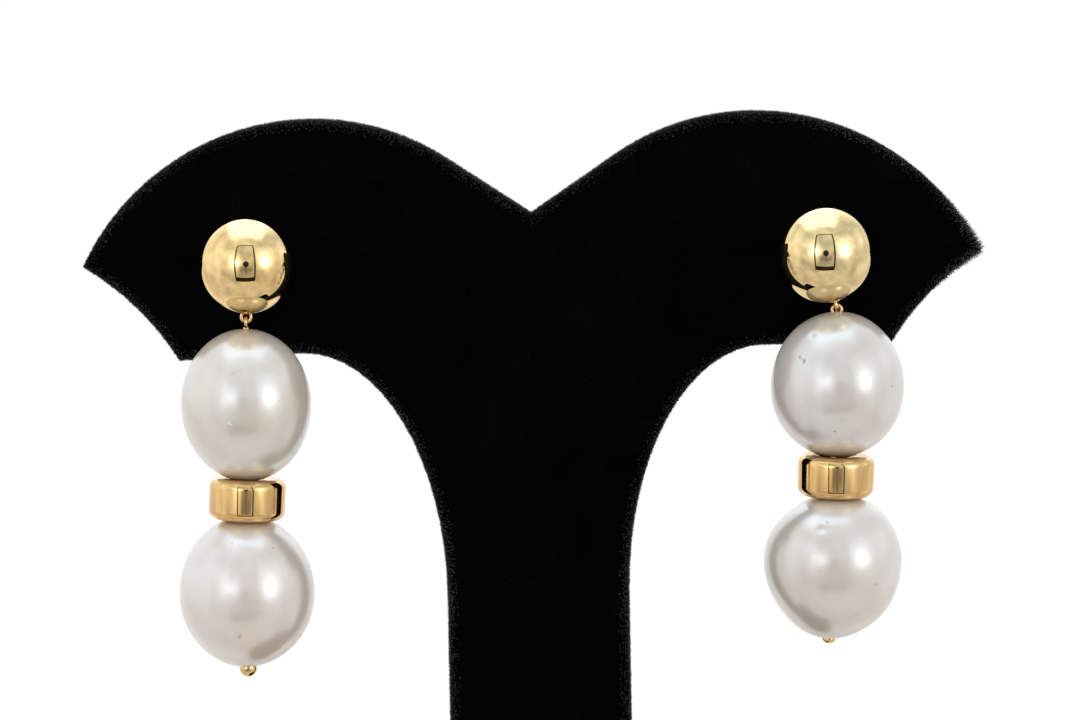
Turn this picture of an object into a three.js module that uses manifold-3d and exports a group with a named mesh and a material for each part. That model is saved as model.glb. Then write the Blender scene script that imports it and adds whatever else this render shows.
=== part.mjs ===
// Pair of drop earrings, each of two pearls and a gold disc, on a velvet-covered display stand.
// Millimetres, +Z up, the wearer's front towards -Y. The origin is the middle of the stand's footprint.
import * as THREE from 'three';
import { mergeVertices } from 'three/addons/utils/BufferGeometryUtils.js';
import Module from 'manifold-3d';

const wasm = await Module();
wasm.setup();

// Stand: a flat panel with two raised wings on a straight neck, on a plain base
const standHeight = 120;
const panelThickness = 7;
const panelEdgeRadius = 1.8;
const wingPeakX = 24.8;          // half the distance between the two wing peaks
const wingOuterRadius = 28.6;
const wingInnerRadius = 27.5;
const tipAngle = 26.02;          // of the tip on the wing's outer arc, above the arc's middle, in degrees
const dipDepth = 11;             // of the notch between the wings, below the peaks
const cornerX = 39.9;            // lower corner of each wing
const cornerDepth = 26.8;        // below the peaks
const tipEdgeHollow = 0.9;       // how far the edge from tip to corner bows inwards
const archX = 26;                // top of the arch under each wing
const archDepth = 26.2;            // below the peaks
const archHeight = 27.8;         // from the top of the arch down to the straight neck
const neckWidth = 20.4;
const baseWidth = 60;
const baseDepth = 46;
const baseHeight = 8;
const baseCornerRadius = 12;
const baseEdgeRadius = 1.6;

// Studs: a polished ball with a post behind and a loop below, soldered
const studX = 31.83;             // half the distance between the two post holes
const studDepth = 15.9;         // below the wing peaks
const studShift = 0.43;          // both studs sit this far towards +X in their holes
const ballDiameter = 11;
const ballStandGap = 0.7;         // the depth of the velvet's pile and a little air
const wireDiameter = 0.4;
const ringDiameter = 1.05;       // of every loop and eye, at the middle of the wire
const loopSink = 0.25;           // how far a loop's middle lies inside the ball's surface, seen from the middle
const postDiameter = 0.9;
const postEndLength = 1;         // of bare post behind the clutch
const postHoleDiameter = 2.2;
const clutchDiameter = 5;
const clutchThickness = 2.2;
const clutchBore = 1.1;
const clutchGap = 0.15;

// Drops
const pearlSize = 15;            // nominal, which the pearls' own sizes are shares of
const beadSize = 1.95;           // of the larger end bead
const linkClearance = 0.05;      // between a loop and the eye that hangs in it
const pinDiameter = 0.7;
const pearlBore = 1;
const pearlMouthDiameter = 1.9;  // of the countersink at the top of each upper pearl
const discDiameter = 8.5;
const discHeight = 4.6;
const discBore = 1.7;
const discTopLand = 6.5;         // diameter of the flat that meets the upper rounded edge
const discBottomLand = 6.4;
const upperDishDiameter = 4.9;
const lowerDishDiameter = 5.3;
const seatClearance = 0.15;
const beadClearance = 0.15;

// Facets
const pearlSegments = 28;
const pearlRings = 18;
const ballSegments = 24;
const ballRings = 16;
const roundSegments = 16;
const discSegments = 30;
const ringSegments = 18;
const wireSides = 8;
const filletSegments = 4;
const weldDistance = 1e-4;

// Lengths of a pearl are shares of pearlSize, those of a bead are shares of beadSize, eyeSink is a share of
// an eye's outer diameter and discShift one of discDiameter. A waist is a share of the pearl's height, down
// from its top.
// A dent pushes the surface in, by a share of the pearl's width, around one direction. A bulge is negative.
// Azimuth is measured from +X towards +Y, and elevation from the pearl's waist. Angles are in degrees.
const sides = {
  left: {
    sign: -1,
    studTurn: 3,                 // of the loop about the post, towards -X
    loopFaces: 'front',
    lean: -1,                    // of the drop's foot, towards -X
    eyeSink: 0.007,              // into the upper pearl's mouth
    discTilt: 2,
    discTip: 1,
    discShift: 0,
    bead: { diameter: 1, height: 1, showing: 0.615 },
    upper: {
      width: 0.96,
      depth: 0.94,
      height: 1.127,
      waist: 0.485,
      tilt: -1.4,
      shift: -0.006,
      dents: [
        { azimuth: -15, elevation: -42, spread: 26, share: -0.005 },
        { azimuth: 150, elevation: 42, spread: 24, share: 0.006 },
        { azimuth: 60, elevation: 10, spread: 30, share: 0.008 },
      ],
    },
    lower: {
      width: 1,
      depth: 0.98,
      height: 1.118,
      waist: 0.505,
      tilt: 0.4,
      shift: -0.005,
      dents: [
        { azimuth: -10, elevation: 48, spread: 28, share: 0.011 },
        { azimuth: -120, elevation: -62, spread: 24, share: -0.008 },
        { azimuth: 95, elevation: -15, spread: 32, share: 0.01 },
      ],
    },
  },
  right: {
    sign: 1,
    studTurn: -12,
    loopFaces: 'side',
    lean: -2.2,
    eyeSink: 0.389,
    discTilt: 0.2,
    discTip: 3,
    discShift: 0.038,
    bead: { diameter: 0.77, height: 0.544, showing: 0.272 },
    upper: {
      width: 0.983,
      depth: 0.96,
      height: 1.077,
      waist: 0.515,
      tilt: 1.3,
      shift: 0.017,
      dents: [
        { azimuth: -145, elevation: 35, spread: 22, share: 0.007 },
        { azimuth: -15, elevation: -42, spread: 26, share: -0.004 },
        { azimuth: 80, elevation: 20, spread: 30, share: 0.008 },
      ],
    },
    lower: {
      width: 1.02,
      depth: 0.987,
      height: 1.084,
      waist: 0.465,
      tilt: 0.6,
      shift: 0.0133,
      dents: [
        { azimuth: 178, elevation: 52, spread: 24, share: 0.024 },
        { azimuth: 0, elevation: 48, spread: 24, share: -0.007 },
        { azimuth: -165, elevation: -40, spread: 24, share: 0.016 },
        { azimuth: -10, elevation: -62, spread: 20, share: 0.01 },
        { azimuth: 100, elevation: -10, spread: 32, share: 0.01 },
      ],
    },
  },
};

const velvet = new THREE.MeshStandardMaterial({ color: 0x0b0b0c, roughness: 0.95, metalness: 0 });
const gold = new THREE.MeshStandardMaterial({ color: 0xd8b062, roughness: 0.12, metalness: 1 });
const nacre = new THREE.MeshStandardMaterial({ color: 0xe4dfd8, roughness: 0.22, metalness: 0 });

const wireRadius = wireDiameter / 2;
const ringRadius = ringDiameter / 2;
const ballRadius = ballDiameter / 2;
const panelFront = -panelThickness / 2;
const panelBack = panelThickness / 2;
const studZ = standHeight - studDepth;
const ballY = panelFront - ballStandGap - ballRadius;

const radians = THREE.MathUtils.degToRad;

function toSolid(geometry) {
  const bare = geometry.clone();
  bare.deleteAttribute('normal');
  bare.deleteAttribute('uv');
  const welded = mergeVertices(bare, weldDistance);
  return new wasm.Manifold(new wasm.Mesh({
    numProp: 3,
    vertProperties: new Float32Array(welded.attributes.position.array),
    triVerts: new Uint32Array(welded.index.array),
  }));
}

function toGeometry(solid) {
  const mesh = solid.getMesh();
  const geometry = new THREE.BufferGeometry();
  geometry.setAttribute('position', new THREE.BufferAttribute(new Float32Array(mesh.vertProperties), 3));
  geometry.setIndex(new THREE.BufferAttribute(new Uint32Array(mesh.triVerts), 1));
  geometry.computeVertexNormals();
  return geometry;
}

function makeMesh(name, geometry, material) {
  const mesh = new THREE.Mesh(geometry, material);
  mesh.name = name;
  return mesh;
}

// A round bar from one height to another along Z.
function uprightBar(diameter, bottom, top, segments = roundSegments) {
  const bar = new THREE.CylinderGeometry(diameter / 2, diameter / 2, top - bottom, segments);
  bar.rotateX(Math.PI / 2);
  bar.translate(0, 0, (top + bottom) / 2);
  return bar;
}

// A round bar from front to back along Y.
function crossBar(diameter, front, back) {
  const bar = new THREE.CylinderGeometry(diameter / 2, diameter / 2, back - front, roundSegments);
  bar.translate(0, (back + front) / 2, 0);
  return bar;
}

// A closed wire ring around a middle height, facing the front or the side.
function wireRing(faces, middleZ) {
  const ring = new THREE.TorusGeometry(ringRadius, wireRadius, wireSides, ringSegments);
  ring.rotateX(Math.PI / 2);
  if (faces === 'side') ring.rotateZ(Math.PI / 2);
  ring.translate(0, 0, middleZ);
  return ring;
}

// Right half of the panel's outline, from the notch round the wing and down the neck.
function halfOutline() {
  const innerZ = standHeight - wingInnerRadius;
  const outerZ = standHeight - wingOuterRadius;
  const notchZ = standHeight - dipDepth;
  const reach = Math.hypot(wingPeakX, notchZ - innerZ);
  const tangent = Math.atan2(notchZ - innerZ, -wingPeakX) - Math.acos(wingInnerRadius / reach);
  const tipTurn = radians(tipAngle);
  const tip = new THREE.Vector2(
    wingPeakX + wingOuterRadius * Math.cos(tipTurn),
    outerZ + wingOuterRadius * Math.sin(tipTurn),
  );
  const corner = new THREE.Vector2(cornerX, standHeight - cornerDepth);
  const inward = corner.clone().sub(tip).normalize().rotateAround(new THREE.Vector2(), -Math.PI / 2);
  const bow = tip.clone().add(corner).multiplyScalar(0.5).addScaledVector(inward, 2 * tipEdgeHollow);
  const archZ = standHeight - archDepth;
  const path = new THREE.Path();
  path.moveTo(0, notchZ);
  path.lineTo(
    wingPeakX + wingInnerRadius * Math.cos(tangent),
    innerZ + wingInnerRadius * Math.sin(tangent),
  );
  path.absarc(wingPeakX, innerZ, wingInnerRadius, tangent, Math.PI / 2, true);
  path.absarc(wingPeakX, outerZ, wingOuterRadius, Math.PI / 2, tipTurn, true);
  path.quadraticCurveTo(bow.x, bow.y, corner.x, corner.y);
  path.quadraticCurveTo((cornerX + archX) / 2, archZ, archX, archZ);
  path.absellipse(archX, archZ - archHeight, archX - neckWidth / 2, archHeight, Math.PI / 2, Math.PI, false, 0);
  path.lineTo(neckWidth / 2, baseHeight);
  return path.getPoints(8);
}

function panelGeometry() {
  const right = halfOutline();
  const left = right.slice(1).map((point) => new THREE.Vector2(-point.x, point.y)).reverse();
  const shape = new THREE.Shape([...right, ...left]);
  const panel = new THREE.ExtrudeGeometry(shape, {
    depth: panelThickness - 2 * panelEdgeRadius,
    bevelEnabled: true,
    bevelThickness: panelEdgeRadius,
    bevelSize: panelEdgeRadius,
    bevelOffset: -panelEdgeRadius,
    bevelSegments: 2,
    curveSegments: 8,
  });
  panel.translate(0, 0, panelEdgeRadius - panelThickness / 2);
  panel.rotateX(Math.PI / 2);
  let solid = toSolid(panel);
  for (const side of Object.values(sides)) {
    const hole = crossBar(postHoleDiameter, 2 * panelFront, 2 * panelBack);
    hole.translate(side.sign * studX, 0, studZ);
    solid = solid.subtract(toSolid(hole));
  }
  return toGeometry(solid);
}

function baseGeometry() {
  const x = baseWidth / 2;
  const y = baseDepth / 2;
  const r = baseCornerRadius;
  const shape = new THREE.Shape();
  shape.absarc(x - r, y - r, r, 0, Math.PI / 2, false);
  shape.absarc(r - x, y - r, r, Math.PI / 2, Math.PI, false);
  shape.absarc(r - x, r - y, r, Math.PI, Math.PI * 1.5, false);
  shape.absarc(x - r, r - y, r, Math.PI * 1.5, Math.PI * 2, false);
  const base = new THREE.ExtrudeGeometry(shape, {
    depth: baseHeight - 2 * baseEdgeRadius,
    bevelEnabled: true,
    bevelThickness: baseEdgeRadius,
    bevelSize: baseEdgeRadius,
    bevelOffset: -baseEdgeRadius,
    bevelSegments: 3,
    curveSegments: 8,
  });
  base.translate(0, 0, baseEdgeRadius);
  return toGeometry(toSolid(base));
}

// The ball is centred on the origin, with its post along +Y and its loop towards -Z.
function studGeometry(side) {
  const postBack = panelBack + clutchGap + clutchThickness + postEndLength - ballY;
  const ball = new THREE.SphereGeometry(ballRadius, ballSegments, ballRings);
  const post = crossBar(postDiameter, 0, postBack);
  const loop = wireRing(side.loopFaces, -ballRadius - loopSink);
  const solid = toSolid(ball).add(toSolid(post)).add(toSolid(loop));
  return toGeometry(solid);
}

function clutchGeometry() {
  const front = panelBack + clutchGap;
  const disc = toSolid(crossBar(clutchDiameter, front, front + clutchThickness));
  const bore = toSolid(crossBar(clutchBore, front - clutchThickness, front + 2 * clutchThickness));
  return toGeometry(disc.subtract(bore));
}

// Heights of everything on a drop, measured from its pivot.
function dropHeights(side) {
  const eyeOuter = ringDiameter + wireDiameter;
  const eyeBelowWire = ringRadius - wireDiameter - linkClearance;
  const wireBelowPivot = side.loopFaces === 'front' ? ringRadius : 0;
  const eye = -wireBelowPivot - eyeBelowWire;
  const upperTop = eye - eyeOuter / 2 + side.eyeSink * eyeOuter;
  const upperFoot = upperTop - side.upper.height * pearlSize;
  const discTop = upperFoot + endSink(side.upper, 1 - side.upper.waist, upperDishDiameter) - seatClearance;
  const discFoot = discTop - discHeight;
  const lowerTop = discFoot + endSink(side.lower, side.lower.waist, lowerDishDiameter) - seatClearance;
  const lowerFoot = lowerTop - side.lower.height * pearlSize;
  const beadMiddle = lowerFoot + (side.bead.height / 2 - side.bead.showing) * beadSize;
  return { eye, upperTop, upperFoot, discTop, discFoot, lowerTop, lowerFoot, beadMiddle };
}

// Depth of a pearl's end below the circle of the given diameter on it.
function endSink(pearl, heightShare, diameter) {
  const run = diameter / (pearl.width * pearlSize);
  return pearl.height * pearlSize * heightShare * (1 - Math.sqrt(1 - run * run));
}

function dentShare(direction, dents) {
  let share = 0;
  for (const dent of dents) {
    const azimuth = radians(dent.azimuth);
    const elevation = radians(dent.elevation);
    const centre = new THREE.Vector3(
      Math.cos(elevation) * Math.cos(azimuth),
      Math.cos(elevation) * Math.sin(azimuth),
      Math.sin(elevation),
    );
    const angle = direction.angleTo(centre) / radians(dent.spread);
    share += dent.share * Math.exp(-angle * angle);
  }
  return share;
}

// A pearl whose top lies at the given height, grown all round by a margin. Its upper and lower halves
// are half ellipsoids of different heights.
function pearlBody(pearl, top, margin = 0) {
  const geometry = new THREE.SphereGeometry(1, pearlSegments, pearlRings);
  geometry.rotateX(Math.PI / 2);
  const position = geometry.attributes.position;
  const point = new THREE.Vector3();
  const width = pearl.width * pearlSize;
  const depth = pearl.depth * pearlSize;
  const rise = pearl.height * pearl.waist * pearlSize;
  const fall = pearl.height * pearlSize - rise;
  for (let i = 0; i < position.count; i += 1) {
    point.fromBufferAttribute(position, i);
    const inset = dentShare(point, pearl.dents) * width - margin;
    const half = point.z > 0 ? rise : fall;
    position.setXYZ(
      i,
      point.x * (width / 2 - inset),
      point.y * (depth / 2 - inset),
      point.z * (half - inset),
    );
  }
  geometry.rotateY(radians(pearl.tilt));
  geometry.translate(pearl.shift * pearlSize, 0, top - rise);
  return toSolid(geometry);
}

// The end bead, grown all round by a margin.
function beadSolid(side, margin = 0) {
  const diameter = side.bead.diameter * beadSize + 2 * margin;
  const height = side.bead.height * beadSize + 2 * margin;
  return flattenedBall(diameter, height, dropHeights(side).beadMiddle);
}

function flattenedBall(diameter, height, z) {
  const ball = new THREE.SphereGeometry(diameter / 2, roundSegments, roundSegments / 2);
  ball.scale(1, height / diameter, 1);
  ball.rotateX(Math.PI / 2);
  ball.translate(0, 0, z);
  return toSolid(ball);
}

function upperPearlGeometry(side) {
  const at = dropHeights(side);
  const bore = toSolid(uprightBar(pearlBore, at.upperFoot - pearlBore, at.upperTop + pearlBore));
  const mouth = flattenedBall(pearlMouthDiameter, pearlMouthDiameter, at.upperTop);
  return toGeometry(pearlBody(side.upper, at.upperTop).subtract(bore).subtract(mouth));
}

function lowerPearlGeometry(side) {
  const at = dropHeights(side);
  const bore = toSolid(uprightBar(pearlBore, at.lowerFoot - pearlBore, at.lowerTop + pearlBore));
  const beadSeat = beadSolid(side, beadClearance);
  return toGeometry(pearlBody(side.lower, at.lowerTop).subtract(bore).subtract(beadSeat));
}

// The disc's rounded edges are quarter ellipses from each land out to the side.
function discGeometry(side) {
  const at = dropHeights(side);
  const radius = discDiameter / 2;
  const topRun = (discDiameter - discTopLand) / 2;
  const footRun = (discDiameter - discBottomLand) / 2;
  const half = discHeight / 2;
  const points = [new THREE.Vector2(0, -half)];
  for (let i = 0; i <= filletSegments; i += 1) {
    const angle = (i / filletSegments) * Math.PI / 2;
    points.push(new THREE.Vector2(
      radius - footRun + footRun * Math.sin(angle),
      -half + footRun - footRun * Math.cos(angle),
    ));
  }
  for (let i = 0; i <= filletSegments; i += 1) {
    const angle = (i / filletSegments) * Math.PI / 2;
    points.push(new THREE.Vector2(
      radius - topRun + topRun * Math.cos(angle),
      half - topRun + topRun * Math.sin(angle),
    ));
  }
  points.push(new THREE.Vector2(0, half));
  const blank = new THREE.LatheGeometry(points, discSegments);
  blank.rotateX(Math.PI / 2);
  const bore = uprightBar(discBore, -discHeight, discHeight);
  const turned = toSolid(blank).subtract(toSolid(bore));
  const geometry = toGeometry(turned);
  geometry.rotateX(radians(side.discTip));
  geometry.rotateY(radians(side.discTilt));
  geometry.translate(side.discShift * discDiameter, 0, (at.discTop + at.discFoot) / 2);
  const seated = toSolid(geometry)
    .subtract(pearlBody(side.upper, at.upperTop, seatClearance))
    .subtract(pearlBody(side.lower, at.lowerTop, seatClearance));
  return toGeometry(seated);
}

function pinGeometry(side) {
  const at = dropHeights(side);
  const eye = toSolid(wireRing(side.loopFaces === 'front' ? 'side' : 'front', at.eye));
  const shank = toSolid(uprightBar(pinDiameter, at.beadMiddle, at.eye - ringRadius));
  return toGeometry(eye.add(shank).add(beadSolid(side)));
}

function makeStand() {
  const stand = new THREE.Group();
  stand.add(makeMesh('stand_base', baseGeometry(), velvet));
  stand.add(makeMesh('stand_upright', panelGeometry(), velvet));
  return stand;
}

function makeEarring(name, side) {
  const earring = new THREE.Group();
  earring.position.set(side.sign * studX + studShift, ballY, studZ);

  const studGroup = new THREE.Group();
  studGroup.rotation.y = radians(side.studTurn);
  studGroup.add(makeMesh(`${name}_stud`, studGeometry(side), gold));
  earring.add(studGroup);

  const clutch = makeMesh(`${name}_clutch`, clutchGeometry(), gold);
  clutch.position.y = -ballY;
  earring.add(clutch);

  // The drop turns about its loop's middle where the loop faces the front, and otherwise about the
  // loop's lowest wire.
  const pivotReach = ballRadius + loopSink + (side.loopFaces === 'front' ? 0 : ringRadius);
  const drop = new THREE.Group();
  drop.position.set(
    -pivotReach * Math.sin(radians(side.studTurn)),
    0,
    -pivotReach * Math.cos(radians(side.studTurn)),
  );
  drop.rotation.y = radians(-side.lean);
  drop.add(makeMesh(`${name}_pin`, pinGeometry(side), gold));
  drop.add(makeMesh(`${name}_upper_pearl`, upperPearlGeometry(side), nacre));
  drop.add(makeMesh(`${name}_gold_disc`, discGeometry(side), gold));
  drop.add(makeMesh(`${name}_lower_pearl`, lowerPearlGeometry(side), nacre));
  earring.add(drop);
  return earring;
}

const model = new THREE.Group();
model.add(makeStand());
for (const [name, side] of Object.entries(sides)) model.add(makeEarring(name, side));

export default model;
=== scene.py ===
import math

import bmesh
import bpy
from mathutils import Matrix, Vector, noise


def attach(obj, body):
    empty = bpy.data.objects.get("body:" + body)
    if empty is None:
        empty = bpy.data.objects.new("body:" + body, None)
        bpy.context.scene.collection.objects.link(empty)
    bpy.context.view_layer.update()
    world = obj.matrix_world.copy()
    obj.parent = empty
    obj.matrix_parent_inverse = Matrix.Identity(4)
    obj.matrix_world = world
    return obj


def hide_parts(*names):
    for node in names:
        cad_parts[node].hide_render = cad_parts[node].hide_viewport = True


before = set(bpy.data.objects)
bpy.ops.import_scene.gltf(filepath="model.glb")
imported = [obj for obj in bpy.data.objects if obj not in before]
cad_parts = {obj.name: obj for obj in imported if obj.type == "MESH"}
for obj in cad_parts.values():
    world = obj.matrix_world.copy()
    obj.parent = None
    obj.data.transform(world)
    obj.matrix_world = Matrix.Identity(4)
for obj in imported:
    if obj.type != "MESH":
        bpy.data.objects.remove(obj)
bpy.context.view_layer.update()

mm = 0.001
scene = bpy.context.scene


def radians(degrees):
    return math.radians(degrees)


# Mesh helpers

def newPiece(name, bm, material, body):
    bmesh.ops.scale(bm, vec=(mm, mm, mm), verts=bm.verts)
    bmesh.ops.recalc_face_normals(bm, faces=bm.faces)
    mesh = bpy.data.meshes.new(name)
    bm.to_mesh(mesh)
    bm.free()
    for face in mesh.polygons:
        face.use_smooth = True
    mesh.materials.append(material)
    piece = bpy.data.objects.new(name, mesh)
    scene.collection.objects.link(piece)
    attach(piece, body)
    return piece


def sharpen(piece, degrees):
    piece.data.set_sharp_from_angle(angle=radians(degrees))


def spinUpright(bm, geom, steps):
    bmesh.ops.spin(
        bm, geom=geom, cent=(0, 0, 0), axis=(0, 0, 1), dvec=(0, 0, 0),
        angle=math.tau, steps=steps, use_merge=True, use_duplicate=False,
    )


def spinProfile(bm, points, steps, closed):
    start = [bm.verts.new(point) for point in points]
    after = start[1:] + start[:1] if closed else start[1:]
    edges = [bm.edges.new(pair) for pair in zip(start, after)]
    spinUpright(bm, start + edges, steps)


def turnBy(bm, verts, degrees, axis):
    bmesh.ops.rotate(bm, verts=verts, cent=(0, 0, 0), matrix=Matrix.Rotation(radians(degrees), 3, axis))


def bevelEdges(bm, edges, offset, segments):
    bmesh.ops.bevel(
        bm, geom=edges, offset=offset, segments=segments, profile=0.5, affect="EDGES", material=-1,
    )


def arcPoints(centreX, centreZ, radiusX, radiusZ, start, end, count):
    # Points on an ellipse's arc in the XZ plane, both ends included
    points = []
    for i in range(count + 1):
        angle = radians(start + (end - start) * i / count)
        points.append((centreX + radiusX * math.cos(angle), 0, centreZ + radiusZ * math.sin(angle)))
    return points


# Shader helpers

def newMaterial(name):
    material = bpy.data.materials.new(name)
    material.use_nodes = True
    tree = material.node_tree
    shader = tree.nodes["Principled BSDF"]
    return material, tree, shader


def addNode(tree, kind, **settings):
    node = tree.nodes.new(kind)
    for key, value in settings.items():
        if key in node.inputs:
            node.inputs[key].default_value = value
        else:
            setattr(node, key, value)
    return node


def link(tree, output, target):
    tree.links.new(output, target)


def makeGroup(name, inputs, outputs):
    group = bpy.data.node_groups.new(name, "ShaderNodeTree")
    for label, kind, value in inputs:
        socket = group.interface.new_socket(label, in_out="INPUT", socket_type=kind)
        if value is not None:
            socket.default_value = value
    for label, kind in outputs:
        group.interface.new_socket(label, in_out="OUTPUT", socket_type=kind)
    start = group.nodes.new("NodeGroupInput")
    end = group.nodes.new("NodeGroupOutput")
    return group, start, end


def placeGroup(tree, group, **values):
    node = tree.nodes.new("ShaderNodeGroup")
    node.node_tree = group
    for key, value in values.items():
        node.inputs[key].default_value = value
    return node


handlingLook = {"smearScale": 420.0, "scratchScale": 2600.0, "stretch": (1.0, 1.0, 9.0)}


def handlingGroup():
    # Fine rubbed scratches and soft smears, as a roughness offset and a height
    group, start, end = makeGroup(
        "handling",
        [("Vector", "NodeSocketVector", None), ("Scale", "NodeSocketFloat", 1.0),
         ("Smear", "NodeSocketFloat", 0.05), ("Scratch", "NodeSocketFloat", 0.5)],
        [("Roughness", "NodeSocketFloat"), ("Height", "NodeSocketFloat")],
    )
    smear = addNode(group, "ShaderNodeTexNoise", Detail=4.0, Roughness=0.6)
    scratch = addNode(group, "ShaderNodeTexNoise", Detail=3.0, Roughness=0.7)
    stretch = addNode(group, "ShaderNodeVectorMath", operation="MULTIPLY")
    stretch.inputs[1].default_value = handlingLook["stretch"]
    smearScale = addNode(group, "ShaderNodeMath", operation="MULTIPLY")
    smearScale.inputs[1].default_value = handlingLook["smearScale"]
    scratchScale = addNode(group, "ShaderNodeMath", operation="MULTIPLY")
    scratchScale.inputs[1].default_value = handlingLook["scratchScale"]
    link(group, start.outputs["Scale"], smearScale.inputs[0])
    link(group, start.outputs["Scale"], scratchScale.inputs[0])
    link(group, start.outputs["Vector"], smear.inputs["Vector"])
    link(group, smearScale.outputs[0], smear.inputs["Scale"])
    link(group, start.outputs["Vector"], stretch.inputs[0])
    link(group, stretch.outputs[0], scratch.inputs["Vector"])
    link(group, scratchScale.outputs[0], scratch.inputs["Scale"])
    amount = addNode(group, "ShaderNodeMath", operation="MULTIPLY")
    link(group, smear.outputs[0], amount.inputs[0])
    link(group, start.outputs["Smear"], amount.inputs[1])
    depth = addNode(group, "ShaderNodeMath", operation="MULTIPLY")
    link(group, scratch.outputs[0], depth.inputs[0])
    link(group, start.outputs["Scratch"], depth.inputs[1])
    link(group, amount.outputs[0], end.inputs["Roughness"])
    link(group, depth.outputs[0], end.inputs["Height"])
    return group


handling = handlingGroup()


goldLook = {"cloud": 180.0, "deepUnder": 0.3, "paleOver": 0.65, "bump": 0.02, "bumpDepth": 0.00002}


def goldMaterial(name, colour, deep, roughness, smear):
    material, tree, shader = newMaterial(name)
    coords = addNode(tree, "ShaderNodeTexCoord")
    marks = placeGroup(tree, handling, Scale=1.0, Smear=smear, Scratch=1.0)
    link(tree, coords.outputs["Object"], marks.inputs["Vector"])
    tone = addNode(tree, "ShaderNodeTexNoise", Scale=goldLook["cloud"], Detail=2.0)
    link(tree, coords.outputs["Object"], tone.inputs["Vector"])
    ramp = addNode(tree, "ShaderNodeValToRGB")
    ramp.color_ramp.elements[0].color = (*deep, 1)
    ramp.color_ramp.elements[0].position = goldLook["deepUnder"]
    ramp.color_ramp.elements[1].color = (*colour, 1)
    ramp.color_ramp.elements[1].position = goldLook["paleOver"]
    link(tree, tone.outputs[0], ramp.inputs[0])
    link(tree, ramp.outputs[0], shader.inputs["Base Color"])
    rough = addNode(tree, "ShaderNodeMath", operation="ADD")
    rough.inputs[1].default_value = roughness
    link(tree, marks.outputs["Roughness"], rough.inputs[0])
    link(tree, rough.outputs[0], shader.inputs["Roughness"])
    bump = addNode(tree, "ShaderNodeBump", Strength=goldLook["bump"], Distance=goldLook["bumpDepth"])
    link(tree, marks.outputs["Height"], bump.inputs["Height"])
    link(tree, bump.outputs[0], shader.inputs["Normal"])
    shader.inputs["Metallic"].default_value = 1.0
    return material


def markGroup():
    # One small round mark at a point: its height, and its darkening: real specks, and painted shade under
    # bumps
    group, start, end = makeGroup(
        "nacreMark",
        [("Vector", "NodeSocketVector", None), ("Centre", "NodeSocketVector", None),
         ("Radius", "NodeSocketFloat", 0.0003), ("Rise", "NodeSocketFloat", 0.0),
         ("Dark", "NodeSocketFloat", 0.0)],
        [("Height", "NodeSocketFloat"), ("Shade", "NodeSocketFloat")],
    )
    away = addNode(group, "ShaderNodeVectorMath", operation="DISTANCE")
    share = addNode(group, "ShaderNodeMath", operation="DIVIDE")
    square = addNode(group, "ShaderNodeMath", operation="MULTIPLY")
    minus = addNode(group, "ShaderNodeMath", operation="MULTIPLY")
    minus.inputs[1].default_value = -1.0
    bell = addNode(group, "ShaderNodeMath", operation="EXPONENT")
    rise = addNode(group, "ShaderNodeMath", operation="MULTIPLY")
    shade = addNode(group, "ShaderNodeMath", operation="MULTIPLY")
    link(group, start.outputs["Vector"], away.inputs[0])
    link(group, start.outputs["Centre"], away.inputs[1])
    link(group, away.outputs["Value"], share.inputs[0])
    link(group, start.outputs["Radius"], share.inputs[1])
    link(group, share.outputs[0], square.inputs[0])
    link(group, share.outputs[0], square.inputs[1])
    link(group, square.outputs[0], minus.inputs[0])
    link(group, minus.outputs[0], bell.inputs[0])
    link(group, bell.outputs[0], rise.inputs[0])
    link(group, start.outputs["Rise"], rise.inputs[1])
    link(group, bell.outputs[0], shade.inputs[0])
    link(group, start.outputs["Dark"], shade.inputs[1])
    link(group, rise.outputs[0], end.inputs["Height"])
    link(group, shade.outputs[0], end.inputs["Shade"])
    return group


nacreMark = markGroup()


# The brown that the nacre marks darken towards serves both real specks and painted shade under raised spots
nacreLook = {
    "cloud": 150.0, "layer": 420.0, "smooth": 0.19, "rough": 0.27, "wave": 0.006, "speckAndShade": (0.16, 0.12, 0.09),
    "ior": 2.9, "tint": (0.86, 0.95, 1.0), "glow": 0.15, "glowRadius": (1.0, 0.7, 0.5), "glowDepth": 0.0008,
    "coat": 0.5, "coatRoughness": 0.3, "coatIor": 2.0,
}


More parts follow.
